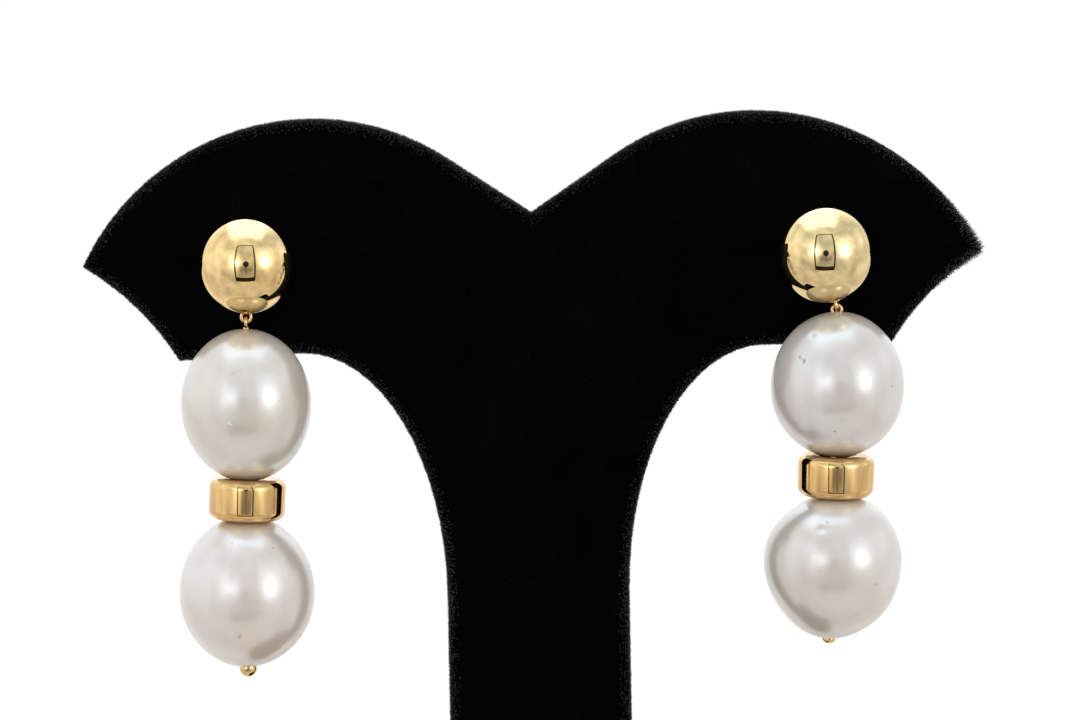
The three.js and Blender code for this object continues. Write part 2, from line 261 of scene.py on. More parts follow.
def pearlMaterial(name, centre, warm, cool, marks):
    material, tree, shader = newMaterial(name)
    coords = addNode(tree, "ShaderNodeTexCoord")
    clouds = addNode(
        tree, "ShaderNodeTexNoise", Scale=nacreLook["cloud"], Detail=2.0, Roughness=0.45, Distortion=0.4,
    )
    link(tree, coords.outputs["Object"], clouds.inputs["Vector"])
    ramp = addNode(tree, "ShaderNodeValToRGB")
    ramp.color_ramp.elements[0].color = (*warm, 1)
    ramp.color_ramp.elements[0].position = 0.3
    ramp.color_ramp.elements[1].color = (*cool, 1)
    ramp.color_ramp.elements[1].position = 0.7
    middle = ramp.color_ramp.elements.new(0.5)
    middle.color = (*centre, 1)
    link(tree, clouds.outputs[0], ramp.inputs[0])
    layers = addNode(tree, "ShaderNodeTexNoise", Scale=nacreLook["layer"], Detail=3.0, Roughness=0.5)
    link(tree, coords.outputs["Object"], layers.inputs["Vector"])
    rough = addNode(tree, "ShaderNodeMapRange")
    rough.inputs["To Min"].default_value = nacreLook["smooth"]
    rough.inputs["To Max"].default_value = nacreLook["rough"]
    link(tree, layers.outputs[0], rough.inputs["Value"])
    link(tree, rough.outputs[0], shader.inputs["Roughness"])
    waves = addNode(tree, "ShaderNodeMath", operation="MULTIPLY")
    waves.inputs[1].default_value = nacreLook["wave"]
    link(tree, layers.outputs[0], waves.inputs[0])
    height = waves.outputs[0]
    shade = None
    for point, radius, rise, dark in marks:
        mark = placeGroup(tree, nacreMark, Centre=point, Radius=radius * mm, Rise=rise, Dark=dark)
        link(tree, coords.outputs["Object"], mark.inputs["Vector"])
        total = addNode(tree, "ShaderNodeMath", operation="ADD")
        link(tree, height, total.inputs[0])
        link(tree, mark.outputs["Height"], total.inputs[1])
        height = total.outputs[0]
        if shade is None:
            shade = mark.outputs["Shade"]
        else:
            most = addNode(tree, "ShaderNodeMath", operation="MAXIMUM")
            link(tree, shade, most.inputs[0])
            link(tree, mark.outputs["Shade"], most.inputs[1])
            shade = most.outputs[0]
    # The marks darken the nacre towards this colour: real dark specks, and painted shade below raised spots
    speckAndShade = addNode(tree, "ShaderNodeMix", data_type="RGBA")
    link(tree, shade, speckAndShade.inputs[0])
    link(tree, ramp.outputs[0], speckAndShade.inputs[6])
    speckAndShade.inputs[7].default_value = (*nacreLook["speckAndShade"], 1)
    link(tree, speckAndShade.outputs[2], shader.inputs["Base Color"])
    bump = addNode(tree, "ShaderNodeBump", Strength=1.0, Distance=mm)
    link(tree, height, bump.inputs["Height"])
    link(tree, bump.outputs[0], shader.inputs["Normal"])
    shader.inputs["IOR"].default_value = nacreLook["ior"]
    shader.inputs["Specular Tint"].default_value = (*nacreLook["tint"], 1)
    shader.inputs["Subsurface Weight"].default_value = nacreLook["glow"]
    shader.inputs["Subsurface Radius"].default_value = nacreLook["glowRadius"]
    shader.inputs["Subsurface Scale"].default_value = nacreLook["glowDepth"]
    shader.inputs["Coat Weight"].default_value = nacreLook["coat"]
    shader.inputs["Coat Roughness"].default_value = nacreLook["coatRoughness"]
    shader.inputs["Coat IOR"].default_value = nacreLook["coatIor"]
    return material


velvetLook = {
    "thread": 2600.0, "nap": 90.0, "darkUnder": 0.15, "paleOver": 0.55, "smooth": 0.85, "rough": 1.0,
    "bump": 0.8, "bumpDepth": 0.0003, "sheenRoughness": 0.22,
}


def velvetMaterial(name, colour, pale, sheen):
    material, tree, shader = newMaterial(name)
    coords = addNode(tree, "ShaderNodeTexCoord")
    thread = addNode(tree, "ShaderNodeTexNoise", Scale=velvetLook["thread"], Detail=3.0, Roughness=0.7)
    nap = addNode(
        tree, "ShaderNodeTexNoise", Scale=velvetLook["nap"], Detail=3.0, Roughness=0.6, Distortion=0.8,
    )
    link(tree, coords.outputs["Object"], thread.inputs["Vector"])
    link(tree, coords.outputs["Object"], nap.inputs["Vector"])
    blend = addNode(tree, "ShaderNodeMath", operation="MULTIPLY")
    link(tree, thread.outputs[0], blend.inputs[0])
    link(tree, nap.outputs[0], blend.inputs[1])
    ramp = addNode(tree, "ShaderNodeValToRGB")
    ramp.color_ramp.elements[0].color = (*colour, 1)
    ramp.color_ramp.elements[0].position = velvetLook["darkUnder"]
    ramp.color_ramp.elements[1].color = (*pale, 1)
    ramp.color_ramp.elements[1].position = velvetLook["paleOver"]
    link(tree, blend.outputs[0], ramp.inputs[0])
    link(tree, ramp.outputs[0], shader.inputs["Base Color"])
    rough = addNode(tree, "ShaderNodeMapRange")
    rough.inputs["To Min"].default_value = velvetLook["smooth"]
    rough.inputs["To Max"].default_value = velvetLook["rough"]
    link(tree, thread.outputs[0], rough.inputs["Value"])
    link(tree, rough.outputs[0], shader.inputs["Roughness"])
    bump = addNode(tree, "ShaderNodeBump", Strength=velvetLook["bump"], Distance=velvetLook["bumpDepth"])
    link(tree, thread.outputs[0], bump.inputs["Height"])
    link(tree, bump.outputs[0], shader.inputs["Normal"])
    shader.inputs["Specular IOR Level"].default_value = 0.0
    shader.inputs["Sheen Weight"].default_value = sheen
    shader.inputs["Sheen Roughness"].default_value = velvetLook["sheenRoughness"]
    return material


ballGold = {
    "left": goldMaterial("leftBallGold", (0.89, 0.66, 0.32), (0.84, 0.58, 0.25), 0.02, 0.04),
    "right": goldMaterial("rightBallGold", (0.87, 0.7, 0.38), (0.8, 0.61, 0.29), 0.02, 0.04),
}
discGold = goldMaterial("discGold", (0.81, 0.55, 0.24), (0.72, 0.46, 0.18), 0.04, 0.05)
wireGold = goldMaterial("wireGold", (0.82, 0.57, 0.29), (0.72, 0.45, 0.19), 0.07, 0.1)
velvet = velvetMaterial("blackVelvet", (0.0007, 0.0007, 0.0007), (0.0035, 0.0035, 0.0035), 0.12)
# The fibres' pale grey is painted sheen, the light the velvet's pile catches along the rims; the cloth itself
# is near black
paintedSheenTips = velvetMaterial("velvetTipsPaintedSheen", (0.02, 0.02, 0.02), (0.19, 0.19, 0.19), 0.5)
print("materials made")


# Stand

# In millimetres, and the same as the solids'
stand = {
    "height": 120.0, "thickness": 7.0, "edge": 1.8, "edgeSteps": 5,
    "peakX": 24.8, "outerRadius": 28.6, "innerRadius": 27.5,
    "tipX": 50.5, "dipDepth": 11.0, "cornerX": 39.9, "cornerDepth": 26.8, "hollow": 0.9,
    "archX": 26.0, "archDepth": 26.2, "archHeight": 27.8, "neck": 20.4,
    "baseWidth": 60.0, "baseDepth": 46.0, "baseHeight": 8.0, "baseCorner": 12.0, "baseEdge": 1.6,
    "cornerSteps": 12,
}


def halfOutline():
    s = stand
    innerZ = s["height"] - s["innerRadius"]
    outerZ = s["height"] - s["outerRadius"]
    notchZ = s["height"] - s["dipDepth"]
    reach = math.hypot(s["peakX"], notchZ - innerZ)
    tangent = math.degrees(math.atan2(notchZ - innerZ, -s["peakX"]) - math.acos(s["innerRadius"] / reach))
    tipAngle = math.degrees(math.acos((s["tipX"] - s["peakX"]) / s["outerRadius"]))
    archZ = s["height"] - s["archDepth"]
    points = [(0, 0, notchZ)]
    points += arcPoints(s["peakX"], innerZ, s["innerRadius"], s["innerRadius"], tangent, 90, 10)[:-1]
    points += arcPoints(s["peakX"], outerZ, s["outerRadius"], s["outerRadius"], 90, tipAngle, 20)
    tip = Vector(points[-1])
    corner = Vector((s["cornerX"], 0, s["height"] - s["cornerDepth"]))
    inward = Matrix.Rotation(radians(90), 3, "Y") @ (corner - tip).normalized()
    bow = (tip + corner) / 2 + inward * 2 * s["hollow"]
    archTop = Vector((s["archX"], 0, archZ))
    lift = Vector(((s["cornerX"] + s["archX"]) / 2, 0, archZ))
    for start, middle, end, count in ((tip, bow, corner, 8), (corner, lift, archTop, 6)):
        for i in range(1, count + 1):
            t = i / count
            points.append(tuple(start * (1 - t) ** 2 + middle * 2 * t * (1 - t) + end * t * t))
    run = s["archX"] - s["neck"] / 2
    points += arcPoints(s["archX"], archZ - s["archHeight"], run, s["archHeight"], 90, 180, 16)[1:]
    points.append((s["neck"] / 2, 0, s["baseHeight"]))
    return points


def makeUpright():
    right = halfOutline()
    left = [(-x, y, z) for x, y, z in right[1:]][::-1]
    bm = bmesh.new()
    verts = [bm.verts.new((x, -stand["thickness"] / 2, z)) for x, y, z in right + left]
    face = bm.faces.new(verts)
    grown = bmesh.ops.extrude_face_region(bm, geom=[face])
    moved = [item for item in grown["geom"] if isinstance(item, bmesh.types.BMVert)]
    bmesh.ops.translate(bm, vec=(0, stand["thickness"], 0), verts=moved)
    bmesh.ops.recalc_face_normals(bm, faces=bm.faces)
    rims = [edge for edge in bm.edges if abs(edge.verts[0].co.y - edge.verts[1].co.y) < 0.001]
    bevelEdges(bm, rims, stand["edge"], stand["edgeSteps"])
    piece = newPiece("velvet_upright", bm, velvet, "stand")
    sharpen(piece, 50)
    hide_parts("stand_upright")
    return piece


def makeBase():
    s = stand
    bm = bmesh.new()
    bmesh.ops.create_cube(bm, size=1.0)
    bmesh.ops.scale(bm, vec=(s["baseWidth"], s["baseDepth"], s["baseHeight"]), verts=bm.verts)
    bmesh.ops.translate(bm, vec=(0, 0, s["baseHeight"] / 2), verts=bm.verts)
    uprights = [e for e in bm.edges if abs(e.verts[0].co.z - e.verts[1].co.z) > 1]
    bevelEdges(bm, uprights, s["baseCorner"], s["cornerSteps"])
    rims = [e for e in bm.edges if abs(e.verts[0].co.z - e.verts[1].co.z) < 0.001]
    bevelEdges(bm, rims, s["baseEdge"], s["edgeSteps"])
    piece = newPiece("velvet_base", bm, velvet, "stand")
    sharpen(piece, 50)
    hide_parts("stand_base")


# Density is in fibres for each square millimetre. Shortest, longest and tipLength are shares of the length
pile = {
    "density": 22.0, "length": 0.24, "thick": 0.06, "shortest": 0.4, "longest": 1.2, "lean": 0.6,
    "tipDepth": 15.8, "tipReach": 8.0, "tipLength": 3.6, "rimUnder": 0.9,
}


def makePile(cloth):
    # Velvet fibres round the rim of the upright, longer at the worn tip of the right wing
    tree = bpy.data.node_groups.new("velvetPile", "GeometryNodeTree")
    tree.interface.new_socket("Geometry", in_out="INPUT", socket_type="NodeSocketGeometry")
    tree.interface.new_socket("Geometry", in_out="OUTPUT", socket_type="NodeSocketGeometry")
    start = tree.nodes.new("NodeGroupInput")
    end = tree.nodes.new("NodeGroupOutput")
    normal = tree.nodes.new("GeometryNodeInputNormal")
    split = tree.nodes.new("ShaderNodeSeparateXYZ")
    flat = addNode(tree, "ShaderNodeMath", operation="ABSOLUTE")
    rim = addNode(tree, "ShaderNodeMath", operation="LESS_THAN")
    rim.inputs[1].default_value = pile["rimUnder"]
    scatter = tree.nodes.new("GeometryNodeDistributePointsOnFaces")
    scatter.inputs["Density"].default_value = pile["density"] / mm / mm
    scatter.inputs["Seed"].default_value = 4
    link(tree, normal.outputs[0], split.inputs[0])
    link(tree, split.outputs[1], flat.inputs[0])
    link(tree, flat.outputs[0], rim.inputs[0])
    link(tree, rim.outputs[0], scatter.inputs["Selection"])
    link(tree, start.outputs[0], scatter.inputs["Mesh"])
    fibre = tree.nodes.new("GeometryNodeMeshCone")
    fibre.fill_type = "NONE"
    fibre.inputs["Vertices"].default_value = 3
    fibre.inputs["Radius Top"].default_value = 0.0
    fibre.inputs["Radius Bottom"].default_value = pile["thick"] / 2 * mm
    fibre.inputs["Depth"].default_value = pile["length"] * mm
    lean = tree.nodes.new("FunctionNodeRandomValue")
    lean.data_type = "FLOAT_VECTOR"
    lean.inputs[0].default_value = [-pile["lean"]] * 3
    lean.inputs[1].default_value = [pile["lean"]] * 3
    lean.inputs["Seed"].default_value = 7
    way = addNode(tree, "ShaderNodeVectorMath", operation="ADD")
    turn = tree.nodes.new("FunctionNodeAlignRotationToVector")
    turn.axis = "Z"
    link(tree, scatter.outputs["Normal"], way.inputs[0])
    link(tree, lean.outputs[0], way.inputs[1])
    link(tree, way.outputs[0], turn.inputs["Vector"])
    place = tree.nodes.new("GeometryNodeInputPosition")
    away = addNode(tree, "ShaderNodeVectorMath", operation="DISTANCE")
    away.inputs[1].default_value = (stand["tipX"] * mm, 0, (stand["height"] - pile["tipDepth"]) * mm)
    worn = tree.nodes.new("ShaderNodeMapRange")
    worn.inputs["From Max"].default_value = pile["tipReach"] * mm
    worn.inputs["To Min"].default_value = pile["tipLength"]
    worn.inputs["To Max"].default_value = 1.0
    link(tree, place.outputs[0], away.inputs[0])
    link(tree, away.outputs["Value"], worn.inputs["Value"])
    size = tree.nodes.new("FunctionNodeRandomValue")
    size.inputs[2].default_value = pile["shortest"]
    size.inputs[3].default_value = pile["longest"]
    size.inputs["Seed"].default_value = 11
    length = addNode(tree, "ShaderNodeMath", operation="MULTIPLY")
    link(tree, size.outputs[1], length.inputs[0])
    link(tree, worn.outputs[0], length.inputs[1])
    scale = tree.nodes.new("ShaderNodeCombineXYZ")
    scale.inputs[0].default_value = 1.0
    scale.inputs[1].default_value = 1.0
    link(tree, length.outputs[0], scale.inputs[2])
    spread = tree.nodes.new("GeometryNodeInstanceOnPoints")
    link(tree, scatter.outputs["Points"], spread.inputs["Points"])
    link(tree, fibre.outputs["Mesh"], spread.inputs["Instance"])
    link(tree, turn.outputs[0], spread.inputs["Rotation"])
    link(tree, scale.outputs[0], spread.inputs["Scale"])
    real = tree.nodes.new("GeometryNodeRealizeInstances")
    link(tree, spread.outputs[0], real.inputs[0])
    link(tree, real.outputs[0], end.inputs[0])
    grower = bpy.data.objects.new("pileGrower", cloth.data)
    scene.collection.objects.link(grower)
    modifier = grower.modifiers.new("pile", "NODES")
    modifier.node_group = tree
    grown = grower.evaluated_get(bpy.context.evaluated_depsgraph_get())
    mesh = bpy.data.meshes.new_from_object(grown)
    bpy.data.objects.remove(grower)
    mesh.name = "velvet_pile"
    mesh.materials.clear()
    # The fibres take the pale material, a painted sheen along the rims
    mesh.materials.append(paintedSheenTips)
    piece = bpy.data.objects.new("velvet_pile", mesh)
    scene.collection.objects.link(piece)
    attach(piece, "stand")
    print("pile fibres:", len(mesh.polygons) // 3)


makePile(makeUpright())
makeBase()
print("stand made")


# Earrings

# How each one hangs and how its pearls and bead are formed, in degrees and in shares of the full sizes.
# A dent is azimuth, elevation and spread in degrees, and its depth as a share of the width, where
# a bulge is negative.
earrings = {
    "left": {
        "sign": -1, "turn": 3.0, "facesFront": True, "lean": -1.0, "eyeSink": 0.007,
        "discTilt": 2.0, "discTip": 1.0, "discShift": 0.0,
        "beadWidth": 1.0, "beadHeight": 1.0, "beadShows": 0.615,
        "upper": {
            "width": 0.96, "depth": 0.94, "height": 1.127, "waist": 0.485, "tilt": -1.4, "shift": -0.006,
            "dents": [(-15, -42, 26, -0.005), (150, 42, 24, 0.006), (60, 10, 30, 0.008)],
            "tones": [(0.677, 0.595, 0.498), (0.657, 0.546, 0.431), (0.677, 0.614, 0.535)],
        },
        "lower": {
            "width": 1.0, "depth": 0.98, "height": 1.118, "waist": 0.505, "tilt": 0.4, "shift": -0.005,
            "dents": [(-10, 48, 28, 0.011), (-120, -62, 24, -0.008), (95, -15, 32, 0.01)],
            "tones": [(0.697, 0.595, 0.517), (0.677, 0.546, 0.450), (0.697, 0.619, 0.544)],
        },
    },
    "right": {
        "sign": 1, "turn": -12.0, "facesFront": False, "lean": -2.2, "eyeSink": 0.389,
        "discTilt": 0.2, "discTip": 3.0, "discShift": 0.038,
        "beadWidth": 0.77, "beadHeight": 0.544, "beadShows": 0.272,
        "upper": {
            "width": 0.983, "depth": 0.96, "height": 1.077, "waist": 0.515, "tilt": 1.3, "shift": 0.017,
            "dents": [(-145, 35, 22, 0.007), (-15, -42, 26, -0.004), (80, 20, 30, 0.008)],
            "tones": [(0.657, 0.585, 0.517), (0.636, 0.526, 0.450), (0.667, 0.605, 0.554)],
        },
        "lower": {
            "width": 1.02, "depth": 0.987, "height": 1.084, "waist": 0.465, "tilt": 0.6, "shift": 0.0133,
            "dents": [
                (178, 52, 24, 0.024), (0, 48, 24, -0.007), (-165, -40, 24, 0.016),
                (-10, -62, 20, 0.01), (100, -10, 32, 0.01),
            ],
            "tones": [(0.657, 0.570, 0.483), (0.636, 0.526, 0.431), (0.667, 0.595, 0.525)],
        },
    },
}

# Where each stud stands, its ball, and the wire rings that link it to its drop. These and the other
# sizes of the earrings are in millimetres, and the same as the solids'.
ballSizes = {"studX": 31.83, "studDepth": 15.9, "shift": 0.43, "diameter": 11.0, "gap": 0.7}
loopSizes = {"wire": 0.4, "ring": 1.05, "sink": 0.25, "clearance": 0.05}

wire = loopSizes["wire"] / 2
ring = loopSizes["ring"] / 2
ballRadius = ballSizes["diameter"] / 2
ballY = -stand["thickness"] / 2 - ballSizes["gap"] - ballRadius
studZ = stand["height"] - ballSizes["studDepth"]


def placeDrop(side):
    # From a drop's own frame, with its pivot at the origin, to the stand's frame
    reach = ballRadius + loopSizes["sink"] + (0 if side["facesFront"] else ring)
    turn = radians(side["turn"])
    place = Vector((
        side["sign"] * ballSizes["studX"] + ballSizes["shift"] - reach * math.sin(turn),
        ballY,
        studZ - reach * math.cos(turn),
    ))
    return Matrix.Translation(place) @ Matrix.Rotation(radians(-side["lean"]), 4, "Y")


def placeStud(side):
    place = Vector((side["sign"] * ballSizes["studX"] + ballSizes["shift"], ballY, studZ))
    return Matrix.Translation(place) @ Matrix.Rotation(radians(side["turn"]), 4, "Y")


def endSink(pearl, share, diameter):
    # How deep a pearl's end sits in a dish of that diameter
    run = diameter / (pearl["width"] * pearlSizes["diameter"])
    return pearl["height"] * pearlSizes["diameter"] * share * (1 - math.sqrt(1 - run * run))


def dropHeights(side):
    # Heights of everything on a drop, from its pivot
    upper = side["upper"]
    lower = side["lower"]
    size = pearlSizes["diameter"]
    eyeOuter = loopSizes["ring"] + loopSizes["wire"]
    at = {}
    at["eye"] = -(ring if side["facesFront"] else 0) - (ring - loopSizes["wire"] - loopSizes["clearance"])
    at["upperTop"] = at["eye"] - eyeOuter / 2 + side["eyeSink"] * eyeOuter
    at["upperFoot"] = at["upperTop"] - upper["height"] * size
    upperSink = endSink(upper, 1 - upper["waist"], discSizes["upperDish"])
    lowerSink = endSink(lower, lower["waist"], discSizes["lowerDish"])
    at["discTop"] = at["upperFoot"] + upperSink - discSizes["seatGap"]
    at["discFoot"] = at["discTop"] - discSizes["height"]
    at["lowerTop"] = at["discFoot"] + lowerSink - discSizes["seatGap"]
    at["lowerFoot"] = at["lowerTop"] - lower["height"] * size
    at["bead"] = at["lowerFoot"] + (side["beadHeight"] / 2 - side["beadShows"]) * pinSizes["bead"]
    return at


def addRing(bm, middleZ, facesFront):
    # A wire ring, spun from a round section beside its axis
    start = len(bm.verts)
    made = bmesh.ops.create_circle(bm, radius=wire, segments=16, cap_ends=False)
    verts = made["verts"]
    turnBy(bm, verts, 90, "X")
    bmesh.ops.translate(bm, verts=verts, vec=(ring, 0, 0))
    edges = list({edge for vert in verts for edge in vert.link_edges})
    spinUpright(bm, list(verts) + edges, 40)
    bm.verts.ensure_lookup_table()
    ringVerts = bm.verts[start:]
    turnBy(bm, ringVerts, 90, "X" if facesFront else "Y")
    bmesh.ops.translate(bm, verts=ringVerts, vec=(0, 0, middleZ))


def addRod(bm, diameter, length, matrix):
    bmesh.ops.create_cone(
        bm, cap_ends=True, segments=24, radius1=diameter / 2, radius2=diameter / 2,
        depth=length, matrix=matrix,
    )


postSizes = {"diameter": 0.9, "end": 1.0, "root": 0.5}


def makeStud(name, side):
    bm = bmesh.new()
    addRing(bm, -ballRadius - loopSizes["sink"], side["facesFront"])
    bmesh.ops.create_uvsphere(bm, u_segments=96, v_segments=64, radius=ballRadius)
    back = stand["thickness"] / 2 + clutchSizes["gap"] + clutchSizes["thick"] + postSizes["end"]
    postLength = back - ballY - ballRadius + postSizes["root"]
    middle = Matrix.Translation((0, back - ballY - postLength / 2, 0))
    addRod(bm, postSizes["diameter"], postLength, middle @ Matrix.Rotation(radians(90), 4, "X"))
    bmesh.ops.transform(bm, matrix=placeStud(side), verts=bm.verts)
    piece = newPiece(f"{name}_gold_ball", bm, ballGold[name], "stand")
    sharpen(piece, 40)
    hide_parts(f"{name}_stud")


clutchSizes = {"diameter": 5.0, "thick": 2.2, "bore": 1.1, "gap": 0.15, "edge": 0.35}


def makeClutch(name, side):
    bm = bmesh.new()
    outer = clutchSizes["diameter"] / 2
    bore = clutchSizes["bore"] / 2
    half = clutchSizes["thick"] / 2
    edge = clutchSizes["edge"]
    points = [(bore, 0, -half)]
    points += arcPoints(outer - edge, -half + edge, edge, edge, -90, 0, 5)
    points += arcPoints(outer - edge, half - edge, edge, edge, 0, 90, 5)
    points += [(bore, 0, half)]
    spinProfile(bm, points, 48, closed=True)
    turnBy(bm, bm.verts, 90, "X")
    middle = stand["thickness"] / 2 + clutchSizes["gap"] + half
    place = (side["sign"] * ballSizes["studX"] + ballSizes["shift"], middle, studZ)
    bmesh.ops.translate(bm, verts=bm.verts, vec=place)
    piece = newPiece(f"{name}_back", bm, wireGold, "stand")
    sharpen(piece, 40)
    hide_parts(f"{name}_clutch")


pinSizes = {"diameter": 0.7, "bead": 1.95, "beadGap": 0.15}


def makePin(name, side, at):
    bm = bmesh.new()
    addRing(bm, at["eye"], not side["facesFront"])
    top = at["eye"] - ring
    addRod(bm, pinSizes["diameter"], top - at["bead"], Matrix.Translation((0, 0, (top + at["bead"]) / 2)))
    width = side["beadWidth"] * pinSizes["bead"]
    height = side["beadHeight"] * pinSizes["bead"]
    bead = bmesh.ops.create_uvsphere(bm, u_segments=40, v_segments=28, radius=width / 2)["verts"]
    bmesh.ops.scale(bm, vec=(1, 1, height / width), verts=bead)
    bmesh.ops.translate(bm, verts=bead, vec=(0, 0, at["bead"]))
    bmesh.ops.transform(bm, matrix=placeDrop(side), verts=bm.verts)
    piece = newPiece(f"{name}_pin_wire", bm, wireGold, f"{name}_drop")
    sharpen(piece, 40)
    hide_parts(f"{name}_pin")


discSizes = {
    "diameter": 8.5, "height": 4.6, "bore": 1.7, "lip": 0.12, "topLand": 6.5, "footLand": 6.4,
    "upperDish": 4.9, "lowerDish": 5.3, "seatGap": 0.15,
}


def makeDisc(name, side, at):
    d = discSizes
    radius = d["diameter"] / 2
    half = d["height"] / 2
    topRun = (d["diameter"] - d["topLand"]) / 2
    footRun = (d["diameter"] - d["footLand"]) / 2
    bore = d["bore"] / 2
    lip = d["lip"]
    upper = side["upper"]
    lower = side["lower"]
    points = [(bore, 0, 0)]
    dishes = (
        (lower, lower["waist"], d["lowerDish"], -1),
        (upper, 1 - upper["waist"], d["upperDish"], 1),
    )
    for pearl, share, dish, sign in dishes:
        wide = pearl["width"] * pearlSizes["diameter"] / 2 + d["seatGap"]
        tall = pearl["height"] * pearlSizes["diameter"] * share + d["seatGap"]
        rim = dish / 2
        curve = []
        for i in range(9):
            x = bore + (rim - bore) * i / 8
            level = half - tall * (math.sqrt(1 - (x / wide) ** 2) - math.sqrt(1 - (rim / wide) ** 2))
            curve.append((x, 0, sign * level))
        if sign < 0:
            points += curve[:-1] + [(rim + lip, 0, -half)]
            points += arcPoints(radius - footRun, -half + footRun, footRun, footRun, -90, 0, 10)
        else:
            points += arcPoints(radius - topRun, half - topRun, topRun, topRun, 0, 90, 10)
            points += [(rim + lip, 0, half)] + curve[:-1][::-1]
    bm = bmesh.new()
    spinProfile(bm, points, 96, closed=True)
    turnBy(bm, bm.verts, side["discTip"], "X")
    turnBy(bm, bm.verts, side["discTilt"], "Y")
    middle = (side["discShift"] * d["diameter"], 0, (at["discTop"] + at["discFoot"]) / 2)
    bmesh.ops.translate(bm, verts=bm.verts, vec=middle)
    bmesh.ops.transform(bm, matrix=placeDrop(side), verts=bm.verts)
    piece = newPiece(f"{name}_round_disc", bm, discGold, f"{name}_drop")
    sharpen(piece, 40)
    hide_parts(f"{name}_gold_disc")


# An upper pearl's hole opens at the top, and a lower pearl's at the foot, to a share of the bead's room
pearlSizes = {
    "diameter": 15.0, "bore": 1.0, "mouth": 1.9, "footMouth": 0.9, "mouthSlope": 0.9, "mouthDepth": 0.05,
    "ripple": 0.03, "rippleScale": 2.2,
}

# Small marks on the nacre: azimuth and elevation from the pearl's middle in degrees,
# radius in millimetres, height in millimetres where a pit is negative, and how dark it is
# The darkness of a pit just below a raised spot is painted shade under that spot; the small dark specks are
# the nacre's own
blemishes = {
    "left_upper": [(-101, -13, 0.22, 0.2, 0.0), (-97, -16, 0.5, -0.06, 0.12), (-97, 26, 0.16, -0.04, 0.3),
                   (-60, 8, 0.5, -0.02, 0.0)],
    "left_lower": [(-93, -31, 0.2, -0.12, 0.15), (-93, -28, 0.2, 0.09, 0.0), (-56, 40, 0.13, -0.04, 0.5),
                   (-104, 44, 0.13, -0.04, 0.3), (-120, 30, 0.5, 0.02, 0.0)],
    "right_upper": [(-129, 21, 0.3, -0.16, 0.25), (-132, 24, 0.22, 0.1, 0.0), (-128, 44, 0.4, -0.06, 0.25),
                    (-40, 4, 0.12, -0.05, 0.8), (-95, -36, 0.12, -0.04, 0.7), (-90, -24, 0.5, -0.04, 0.1)],
    "right_lower": [(-106, 33, 0.5, -0.16, 0.16), (-102, 37, 0.35, 0.1, 0.0), (-55, -12, 0.14, -0.03, 0.5),
                    (-70, -38, 0.3, -0.03, 0.1)],
}


def direction(azimuth, elevation):
    a = radians(azimuth)
    e = radians(elevation)
    return Vector((math.cos(e) * math.cos(a), math.cos(e) * math.sin(a), math.sin(e)))


def makePearl(name, side, at, which):
    pearl = side[which]
    size = pearlSizes["diameter"]
    width = pearl["width"] * size / 2
    depth = pearl["depth"] * size / 2
    rise = pearl["height"] * pearl["waist"] * size
    fall = pearl["height"] * size - rise
    top = at["upperTop"] if which == "upper" else at["lowerTop"]
    bore = pearlSizes["bore"] / 2
    topRim = pearlSizes["mouth"] / 2 if which == "upper" else bore
    beadRim = side["beadWidth"] * pinSizes["bead"] / 2 + pinSizes["beadGap"]
    footRim = bore if which == "upper" else beadRim * pearlSizes["footMouth"]
    # The outline from the upper rim round to the lower rim, on a ball of radius 1
    first = 90 - math.degrees(math.asin(topRim / width))
    last = -90 + math.degrees(math.asin(footRim / width))
    points = []
    steps = 84
    for i in range(steps + 1):
        angle = radians(first + (last - first) * i / steps)
        points.append((math.cos(angle), 0, math.sin(angle)))
    bm = bmesh.new()
    spinProfile(bm, points, 112, closed=False)
    for vert in bm.verts:
        way = vert.co.normalized()
        share = 0
        for azimuth, elevation, spread, amount in pearl["dents"]:
            angle = way.angle(direction(azimuth, elevation)) / radians(spread)
            share += amount * math.exp(-angle * angle)
        ripple = noise.noise(way * pearlSizes["rippleScale"] + Vector((width, fall, rise)))
        inset = share * 2 * width + pearlSizes["ripple"] * ripple
        half = rise if way.z > 0 else fall
        vert.co = Vector((way.x * (width - inset), way.y * (depth - inset), way.z * (half - inset)))
    # The drilled hole's wall, bridged between the two rims
    rims = [edge for edge in bm.edges if edge.is_boundary]
    grown = bmesh.ops.extrude_edge_only(bm, edges=rims)
    inner = [item for item in grown["geom"] if isinstance(item, bmesh.types.BMVert)]
    for vert in inner:
        flat = Vector((vert.co.x, vert.co.y, 0))
        flat = flat.normalized() * bore
        rim = topRim if vert.co.z > 0 else footRim
        sink = (rim - bore) * pearlSizes["mouthSlope"] + pearlSizes["mouthDepth"]
        vert.co = Vector((flat.x, flat.y, vert.co.z - math.copysign(sink, vert.co.z)))
    innerEdges = [edge for edge in bm.edges if edge.is_boundary]
    bmesh.ops.bridge_loops(bm, edges=innerEdges)
    place = placeDrop(side) @ Matrix.Translation((pearl["shift"] * size, 0, top - rise))
    place = place @ Matrix.Rotation(radians(pearl["tilt"]), 4, "Y")
    bmesh.ops.transform(bm, matrix=place, verts=bm.verts)
    marks = []
    for azimuth, elevation, radius, height, dark in blemishes[f"{name}_{which}"]:
        way = direction(azimuth, elevation)
        spot = place @ Vector((way.x * width, way.y * depth, way.z * (rise if way.z > 0 else fall)))
        marks.append((tuple(spot * mm), radius, height, dark))
    nacre = pearlMaterial(f"{name}{which.title()}Nacre", *pearl["tones"], marks)
    piece = newPiece(f"{name}_{which}_nacre", bm, nacre, f"{name}_drop")
    sharpen(piece, 50)
    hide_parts(f"{name}_{which}_pearl")


for name, side in earrings.items():
    heights = dropHeights(side)
    makeStud(name, side)
    makeClutch(name, side)
    makePin(name, side, heights)
    makeDisc(name, side, heights)
    makePearl(name, side, heights, "upper")
    makePearl(name, side, heights, "lower")
    print(f"{name} earring made")


# Floor, light and camera

floorDisc = {"radius": 0.3, "fadeFrom": 0.06, "colour": (0.76, 0.7, 0.63), "mottle": 0.97}


